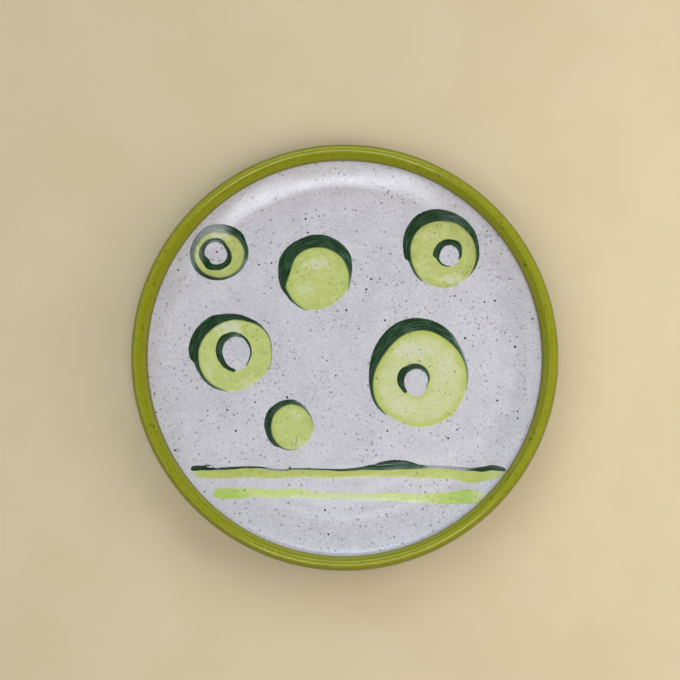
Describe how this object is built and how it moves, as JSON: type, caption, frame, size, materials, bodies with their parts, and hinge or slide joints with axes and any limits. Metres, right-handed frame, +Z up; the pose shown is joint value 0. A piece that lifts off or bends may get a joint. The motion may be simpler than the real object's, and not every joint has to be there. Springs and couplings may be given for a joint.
{
  "type": "hand painted ceramic plate",
  "caption": "Round stoneware plate with a rolled olive-green lip, a speckled white well painted with green ringed dots and lines, and a bare foot ring.",
  "frame": {"origin": "middle of the foot ring's contact face, on the table the plate stands on", "axes": "+Z up out of the well, along the plate's axis; +Y towards the top of the painted design, away from its three lines; +X to the right of the design"},
  "size_m": [0.22, 0.22, 0.024],
  "materials": {
    "bare_clay": "matt, unglazed, iron speckled",
    "white_glaze": "glossy white with brown iron specks",
    "olive_glaze": "glossy olive green, lighter where it breaks on the crown of the lip",
    "light_green_paint": "brushed light green under a clear gloss",
    "dark_green_paint": "brushed dark green under a clear gloss",
    "olive_green_paint": "brushed olive green under a clear gloss",
    "lime_green_paint": "brushed lime green under a clear gloss"
  },
  "bodies": {
    "root": {"clay_body": "bare_clay", "well_glaze": "white_glaze", "rim_glaze": "olive_glaze", "underside_glaze": "white_glaze", "foot_well_glaze": "white_glaze", "small_ring_fill": "light_green_paint", "small_ring_outline": "dark_green_paint", "small_ring_inner": "dark_green_paint", "top_disc_fill": "light_green_paint", "top_disc_crescent": "dark_green_paint", "right_ring_fill": "light_green_paint", "right_ring_crescent": "dark_green_paint", "right_ring_inner": "dark_green_paint", "left_ring_fill": "light_green_paint", "left_ring_crescent": "dark_green_paint", "left_ring_inner": "dark_green_paint", "big_ring_fill": "light_green_paint", "big_ring_crescent": "dark_green_paint", "big_ring_inner": "dark_green_paint", "low_disc_fill": "light_green_paint", "low_disc_crescent": "dark_green_paint", "dark_line": "dark_green_paint", "olive_line": "olive_green_paint", "lime_line": "lime_green_paint"}
  },
  "joints": []
}
